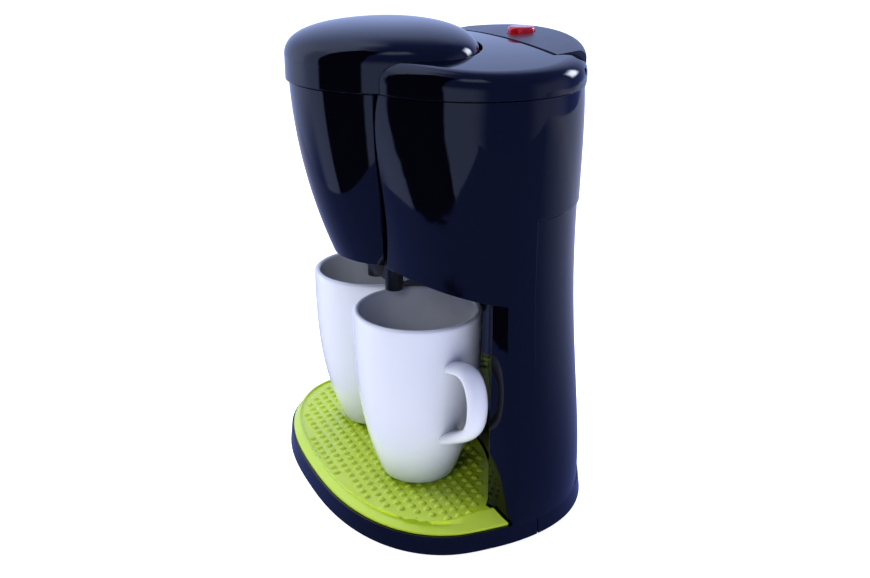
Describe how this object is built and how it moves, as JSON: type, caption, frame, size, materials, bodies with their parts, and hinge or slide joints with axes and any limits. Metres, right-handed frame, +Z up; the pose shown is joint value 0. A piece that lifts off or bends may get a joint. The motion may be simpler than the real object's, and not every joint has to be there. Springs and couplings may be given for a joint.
{
  "type": "drip coffee maker",
  "caption": "Small black drip coffee maker with a lime drip tray, a swing-out filter holder, a hinged tank lid and white mugs",
  "frame": {"origin": "on the floor under the middle of the base", "axes": "+X to the right of a person facing the machine, +Y to its rear, +Z up"},
  "size_m": [0.1881, 0.142, 0.2394],
  "materials": {
    "black_gloss": "glossy black moulded plastic with a faint blue cast",
    "grey_plastic": "satin dark grey plastic",
    "red_plastic": "glossy translucent red plastic",
    "lime_plastic": "glossy lime green plastic",
    "white_glaze": "white glazed stoneware",
    "black_plastic": "plain black plastic",
    "clear_tank": "translucent natural plastic",
    "silicone": "soft silicone rubber",
    "steel": "plain steel",
    "bare_aluminium": "plain extruded aluminium",
    "arm_plastic": "natural plastic pipe"
  },
  "bodies": {
    "machine_body": {"front_housing": "black_gloss", "bay_panel": "black_gloss", "rear_cover": "black_gloss", "filter_cover": "black_gloss", "power_inlet": "black_gloss", "switch_panel": "grey_plastic", "top_deck": "black_plastic", "base_plate": "black_plastic", "spray_plate": "black_plastic", "power_switch": "black_plastic", "terminal_block": "black_plastic", "heater_bracket": "black_plastic", "water_tank": "clear_tank", "inlet_hose": "silicone", "riser_hose": "silicone", "rubber_feet": "silicone", "base_screws": "steel", "holder_pin": "steel", "lid_hinge_pins": "steel", "hose_clamps": "steel", "button_spring": "steel", "thermostat": "steel", "thermal_fuse": "steel", "heater_tube": "bare_aluminium", "heating_rod": "bare_aluminium", "water_arm": "arm_plastic", "check_valve": "arm_plastic"},
    "tank_lid_body": {"tank_lid": "black_gloss"},
    "holder_body": {"filter_holder": "black_gloss", "filter_frame": "black_plastic", "filter_mesh": "steel", "coffee_spout": "black_plastic"},
    "button_body": {"power_button": "red_plastic"},
    "tray_body": {"drip_tray": "lime_plastic"},
    "right_mug_body": {"mug_right": "white_glaze"},
    "left_mug_body": {"mug_left": "white_glaze"}
  },
  "joints": [
    {"name": "tank_lid_hinge", "type": "hinge", "parent": "machine_body", "child": "tank_lid_body", "pos_m": [0, 0.048, 0.219], "axis": [-1, 0, 0], "range_deg": [0, 70]},
    {"name": "filter_holder_swing", "type": "hinge", "parent": "machine_body", "child": "holder_body", "pos_m": [-0.0455, -0.045, 0.18], "axis": [0, 0, -1], "range_deg": [0, 95]},
    {"name": "power_button_push", "type": "slide", "parent": "machine_body", "child": "button_body", "axis": [0, 0, -1], "range_m": [0, 0.002], "stiffness_N_per_m": 600, "deforming": ["button_spring"]},
    {"name": "drip_tray_slide", "type": "slide", "parent": "machine_body", "child": "tray_body", "axis": [0, -1, 0], "range_m": [0, 0.07]},
    {"name": "right_mug_slide", "type": "slide", "parent": "tray_body", "child": "right_mug_body", "axis": [0, -1, 0], "range_m": [0, 0.09]},
    {"name": "left_mug_slide", "type": "slide", "parent": "tray_body", "child": "left_mug_body", "axis": [0, -1, 0], "range_m": [0, 0.09]}
  ]
}
